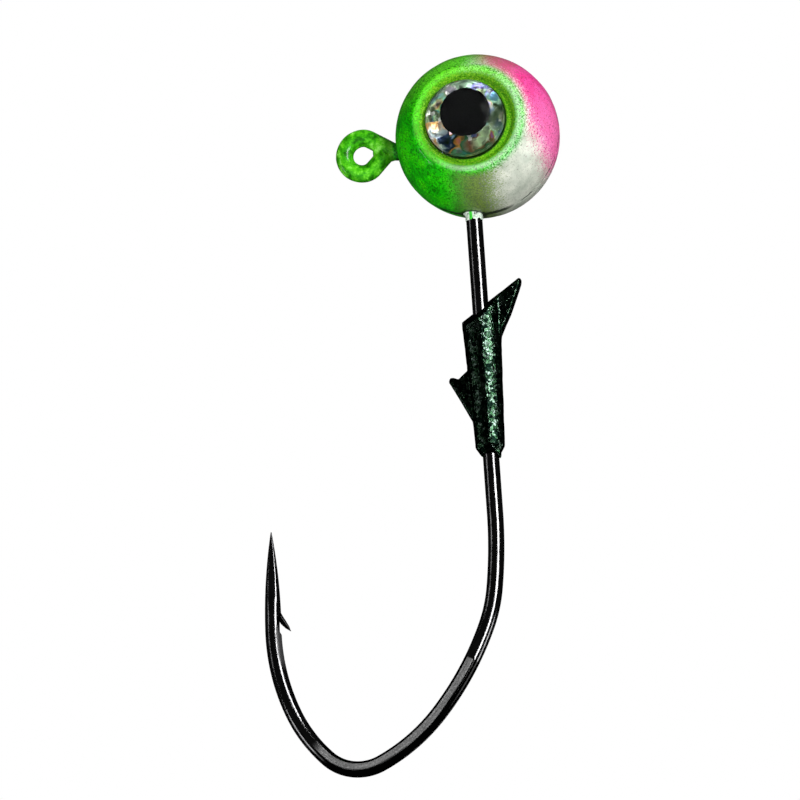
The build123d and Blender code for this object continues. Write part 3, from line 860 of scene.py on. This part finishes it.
def foil_material(name, offset):
    """Embossed rainbow foil: facets that each catch their own colour."""
    s = Shader(name)
    centre = HEAD + EYE_SHIFT
    spot = s.place(1.0, centre, (1, 0, 1))
    x, _, z = s.axes(spot)
    angle = s.math("ARCTAN2", z, x)
    round_it = s.math("MULTIPLY", angle, 1.9)
    outward = s.math("MULTIPLY", s.length(spot), 1.2)
    polar = s.node("ShaderNodeCombineXYZ", {0: round_it, 1: outward, 2: offset})
    wander = s.node("ShaderNodeTexNoise", {"Vector": spot, "Scale": 1.1, "Detail": 2.0}).outputs["Color"]
    warped = s.mix(0.9, polar.outputs[0], wander, "ADD")
    patch = s.soft_cells(warped, 1.35)
    shade = s.axes(patch.outputs["Color"])
    flecks = s.cells(spot, 4.2)
    fleck_shade = s.axes(flecks.outputs["Color"])
    # the rainbow runs round the pupil, broken up by the embossed patches; its bright and dark sectors are
    # painted reflection, set by the direction round the pupil
    turn = s.math("ADD", s.math("DIVIDE", angle, 2 * math.pi), 0.5)
    turn = s.math("ADD", turn, s.math("MULTIPLY", s.math("SUBTRACT", shade[0], 0.5), 0.16))
    sheen = s.ramp(turn, (
        (0.02, (0.90, 0.50, 0.18, 1)), (0.06, (0.80, 0.95, 0.98, 1)), (0.10, (0.02, 0.04, 0.12, 1)),
        (0.15, (0.01, 0.03, 0.01, 1)), (0.19, (0.70, 0.34, 0.08, 1)), (0.23, (0.04, 0.16, 0.06, 1)),
        (0.29, (0.10, 0.24, 0.12, 1)), (0.34, (0.30, 0.12, 0.07, 1)), (0.39, (0.75, 1.0, 0.55, 1)),
        (0.46, (0.16, 0.24, 0.14, 1)), (0.52, (0.05, 0.09, 0.04, 1)), (0.58, (0.55, 1.0, 0.75, 1)),
        (0.64, (0.38, 0.34, 0.95, 1)), (0.68, (0.55, 0.85, 0.60, 1)), (0.77, (0.16, 0.25, 0.17, 1)),
        (0.90, (0.13, 0.18, 0.10, 1)),
    ))
    rainbow = s.ramp(shade[1], (
        (0.15, (0.04, 0.10, 0.42, 1)), (0.26, (0.22, 0.28, 0.95, 1)), (0.36, (0.10, 0.75, 0.85, 1)),
        (0.46, (0.20, 0.70, 0.28, 1)), (0.55, (0.95, 0.80, 0.25, 1)), (0.64, (1.0, 0.38, 0.06, 1)),
        (0.74, (0.95, 0.22, 0.40, 1)), (0.85, (0.45, 0.22, 0.9, 1)),
    ))
    colour = s.mix(s.math("MULTIPLY", s.step(shade[2], 0.50, 0.75), 0.55), sheen, rainbow)
    # painted glints: scattered facets painted near white
    bright = s.math("MULTIPLY", s.step(fleck_shade[0], 0.90, 0.98), 0.6)
    dull = s.math("MULTIPLY", s.step(fleck_shade[1], 0.78, 0.95), 0.45)
    colour = s.mix(bright, colour, (1.0, 0.99, 0.95, 1))
    colour = s.mix(dull, colour, (0.02, 0.04, 0.05, 1))
    s.set(Base_Color=colour, Metallic=0.75, Roughness=0.3)
    relief = s.math("MULTIPLY", flecks.outputs["Distance"], 0.12)
    relief = s.math("ADD", patch.outputs["Distance"], relief)
    s.set(Normal=s.bump(relief, 0.35, 0.0003))
    return s.material


def pupil_material():
    """Matt black printing ink."""
    s = Shader("pupil_ink")
    grain = s.noise(s.place(1.0), 12.0, 3.0, 0.6)
    tone = s.ramp(grain, ((0.35, (0.0008, 0.0008, 0.001, 1)), (0.7, (0.004, 0.004, 0.005, 1))))
    s.set(Base_Color=tone, Roughness=0.6)
    s.surface.inputs["Specular IOR Level"].default_value = 0.1
    s.set(Normal=s.bump(grain, 0.2, 0.00002))
    return s.material


def dome_material():
    """Clear cast dome with faint ripples."""
    s = Shader("clear_dome")
    s.set(Base_Color=(0.97, 1.0, 0.985, 1))
    across = s.length(s.place(1.0, HEAD + EYE_SHIFT, (1, 0, 1)))
    s.set(Roughness=s.math("MULTIPLY", s.step(across, DOME_R - 0.07, DOME_R - 0.01), 0.45))
    s.surface.inputs["IOR"].default_value = 1.4
    s.surface.inputs["Specular Tint"].default_value = (0.08, 0.09, 0.085, 1)
    s.surface.inputs["Transmission Weight"].default_value = 1.0
    swirl = s.noise(s.place(1.0), 1.7, 2.0, 0.5)
    s.set(Normal=s.bump(swirl, 0.3, 0.0002))
    return s.material


def glue_material():
    """Cloudy cream glue behind the eye."""
    s = Shader("eye_glue")
    cloud = s.noise(s.place(1.0), 3.0, 3.0, 0.6)
    tone = s.ramp(cloud, ((0.3, (0.55, 0.52, 0.40, 1)), (0.7, (0.8, 0.78, 0.66, 1))))
    s.set(Base_Color=tone, Roughness=0.4)
    s.set(Normal=s.bump(cloud, 0.3, 0.0001))
    return s.material


def lead_material():
    """Dull cast lead, hidden by the paint."""
    s = Shader("cast_lead")
    cloud = s.noise(s.place(1.0), 1.8, 4.0, 0.65)
    tone = s.ramp(cloud, ((0.3, (0.12, 0.125, 0.13, 1)), (0.7, (0.3, 0.31, 0.32, 1))))
    s.set(Base_Color=tone, Metallic=0.9)
    s.set(Roughness=s.math("ADD", s.math("MULTIPLY", cloud, 0.3), 0.35))
    s.set(Normal=s.bump(cloud, 0.4, 0.0001))
    return s.material


def dress(piece, material):
    """Give a piece its one material."""
    piece.data.materials.clear()
    piece.data.materials.append(material)


paint = paint_material()
dress(hook, nickel_material())
dress(ball, paint)
dress(ring_piece, paint)
dress(sleeve, sleeve_material())
dress(keeper, keeper_material())
ink = pupil_material()
clear = dome_material()
glue = glue_material()
for side_name, foil, pupil, dome in eye_pieces:
    dress(foil, foil_material(f"foil_{side_name}", 1.3 if side_name == "left" else 6.1))
    dress(pupil, ink)
    dress(dome, clear)
    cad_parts[f"eye_adhesive_{side_name}"].data.materials[0] = glue
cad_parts["head_core"].data.materials[0] = lead_material()

# ---------------------------------------------------------------- what each piece stands for
for piece, nodes, slot in (
    (hook, ("hook",), "hook_wire"),
    (ball, ("paint_coat",), "head_paint"),
    (ring_piece, ("paint_coat",), "head_paint"),
    (sleeve, ("paint_coat",), "head_paint"),
    (keeper, ("bait_keeper",), "keeper_resin"),
):
    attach(piece, "root")
    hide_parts(*nodes)
for side_name, foil, pupil, dome in eye_pieces:
    for piece, part in ((foil, "foil"), (pupil, "pupil"), (dome, "dome")):
        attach(piece, "root")
        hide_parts(f"eye_{part}_{side_name}")

# ---------------------------------------------------------------- camera
AZIMUTH = math.radians(8.7)
ELEVATION = math.radians(-17.9)
ROLL = math.radians(4)
VIEW_WIDTH = 51.12 * MM
DISTANCE = 1.8
SENSOR = 12
MID_DEPTH = 6.5
right = Vector((math.cos(AZIMUTH), math.sin(AZIMUTH), 0))
up = Vector((
    -math.sin(AZIMUTH) * math.sin(ELEVATION), math.cos(AZIMUTH) * math.sin(ELEVATION), math.cos(ELEVATION),
))
back = right.cross(up)
camera_x = right * math.cos(ROLL) - up * math.sin(ROLL)
camera_y = right * math.sin(ROLL) + up * math.cos(ROLL)
target = Vector((0.659, 4.085, -15.308)) * MM
target -= back * ((target - HEAD * MM).dot(back) - MID_DEPTH * MM)
camera_data = bpy.data.cameras.new("camera")
camera_data.sensor_width = SENSOR
camera_data.lens = SENSOR * DISTANCE / VIEW_WIDTH
camera_data.clip_start = 0.01
camera_data.clip_end = 10
camera = bpy.data.objects.new("camera", camera_data)
bpy.context.scene.collection.objects.link(camera)
axes = Matrix((camera_x, camera_y, back)).transposed().to_4x4()
camera.matrix_world = Matrix.Translation(target + back * DISTANCE) @ axes
bpy.context.scene.camera = camera


# ---------------------------------------------------------------- light
def soft_box(name, turn, rise, distance, width, height, radiance, mirrored=True, only=None):
    """An area light seen from the object turn degrees right of the camera and rise degrees up.

    One that isn't mirrored lights without a mirror image; only names the collection it reaches."""
    turn = math.radians(turn)
    rise = math.radians(rise)
    way = (
        camera_x * math.sin(turn) * math.cos(rise) + camera_y * math.sin(rise)
        + back * math.cos(turn) * math.cos(rise)
    )
    data = bpy.data.lights.new(name, "AREA")
    data.shape = "RECTANGLE"
    data.size = width
    data.size_y = height
    data.energy = radiance * math.pi * width * height
    lamp = bpy.data.objects.new(name, data)
    lamp.visible_camera = False
    lamp.visible_glossy = mirrored
    if only is not None:
        lamp.light_linking.receiver_collection = only
    bpy.context.scene.collection.objects.link(lamp)
    facing = way.to_track_quat("Z", "Y").to_matrix().to_4x4()
    lamp.matrix_world = Matrix.Translation(target + way * distance) @ facing


def receivers(name, *pieces):
    """A collection of the pieces that a light is meant for."""
    group = bpy.data.collections.new(name)
    for piece in pieces:
        group.objects.link(piece)
    return group


metalwork = receivers("metalwork", hook, keeper)
glossy_parts = receivers(
    "glossy_parts", hook, keeper, ring_piece, *(piece for eye in eye_pieces for piece in eye[1:]),
)
paintwork = receivers("paintwork", ball, sleeve)
# name, then turn, rise, distance, width, height and radiance
KEY = (36, 28, 0.4, 0.13, 0.36, 13.0)
soft_box("key", *KEY, only=glossy_parts)
soft_box("key_on_paint", *KEY, mirrored=False, only=paintwork)
soft_box("glint_on_paint", 73, 18, 0.4, 0.09, 0.12, 4.0, only=paintwork)
soft_box("left_strip", -76, 20, 0.4, 0.05, 0.14, 2.2)
soft_box("right_low", 80, -14, 0.4, 0.08, 0.16, 4.0)
soft_box("left_low", -80, -16, 0.4, 0.08, 0.16, 4.0)
soft_box("back_key", 152, -29, 0.4, 0.12, 0.2, 12.0, only=metalwork)
soft_box("back_strip", -156, -32, 0.4, 0.06, 0.2, 6.0, only=metalwork)
soft_box("front_soft", -22, -8, 0.6, 0.5, 0.5, 3.4, mirrored=False)
soft_box("side_soft", 64, -8, 0.4, 0.3, 0.3, 0.6, mirrored=False)
soft_box("low_soft", 0, -60, 0.5, 0.6, 0.5, 0.9, mirrored=False)
soft_box("back_soft", 170, 5, 0.6, 0.6, 0.6, 2.6, mirrored=False)
soft_box("top_soft", 180, 60, 0.4, 0.4, 0.25, 2.0, mirrored=False)

# a white backdrop behind the object that adds hardly any light of its own
FILL_STRENGTH = 0.02
BACKDROP_STRENGTH = 1.0
world = bpy.data.worlds.new("world")
bpy.context.scene.world = world
world.use_nodes = True
world_nodes = world.node_tree.nodes
world_links = world.node_tree.links
world_nodes.clear()
output = world_nodes.new("ShaderNodeOutputWorld")
blend = world_nodes.new("ShaderNodeMixShader")
path = world_nodes.new("ShaderNodeLightPath")
dim = world_nodes.new("ShaderNodeBackground")
dim.inputs["Color"].default_value = (1, 1, 1, 1)
dim.inputs["Strength"].default_value = FILL_STRENGTH
pale = world_nodes.new("ShaderNodeBackground")
pale.inputs["Color"].default_value = (1, 1, 1, 1)
pale.inputs["Strength"].default_value = BACKDROP_STRENGTH
world_links.new(path.outputs["Is Camera Ray"], blend.inputs[0])
world_links.new(dim.outputs[0], blend.inputs[1])
world_links.new(pale.outputs[0], blend.inputs[2])
world_links.new(blend.outputs[0], output.inputs["Surface"])

FLOOR_Z = -0.75
FLOOR_SIZE = 6.0
build = bmesh.new()
bmesh.ops.create_grid(build, x_segments=1, y_segments=1, size=FLOOR_SIZE)
bmesh.ops.translate(build, vec=(0, 0, FLOOR_Z), verts=build.verts)
floor_mesh = bpy.data.meshes.new("pale_floor")
build.to_mesh(floor_mesh)
build.free()
floor = bpy.data.objects.new("pale_floor", floor_mesh)
bpy.context.scene.collection.objects.link(floor)
floor_look = Shader("pale_floor")
floor_look.set(Base_Color=(0.9, 0.9, 0.9, 1), Roughness=1.0)
floor_look.surface.inputs["Emission Color"].default_value = (1, 1, 1, 1)
floor_look.surface.inputs["Emission Strength"].default_value = 0.9
floor_mesh.materials.append(floor_look.material)
for ray in ("diffuse", "glossy", "transmission", "shadow"):
    setattr(floor, f"visible_{ray}", False)
floor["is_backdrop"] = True

bpy.context.scene.view_settings.view_transform = "Standard"

bpy.context.view_layer.update()
low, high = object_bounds()
